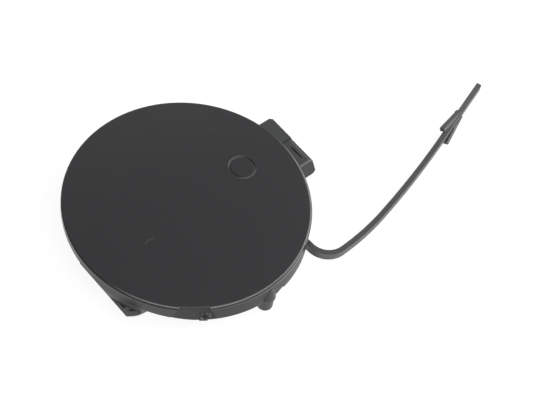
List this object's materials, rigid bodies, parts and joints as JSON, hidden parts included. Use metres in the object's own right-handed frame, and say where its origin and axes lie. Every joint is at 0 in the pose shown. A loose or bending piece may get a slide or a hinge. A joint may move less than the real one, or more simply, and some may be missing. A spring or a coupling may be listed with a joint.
{
  "type": "bumper tow hook cover",
  "caption": "Round moulded cover for the tow eye hole in a car bumper, with a fixed tongue, snap hook, locating pegs and a barbed tether strap.",
  "frame": {"origin": "middle of the plate's flat inner face", "axes": "+Z out of the show face, +Y towards the fixed tongue, +X towards the side the strap leaves from"},
  "size_m": [0.0814, 0.1585, 0.0149],
  "materials": {
    "plastic": "unpainted black moulding with a fine satin grain"
  },
  "bodies": {
    "root": {"tow_hook_cover": "plastic"}
  },
  "joints": []
}
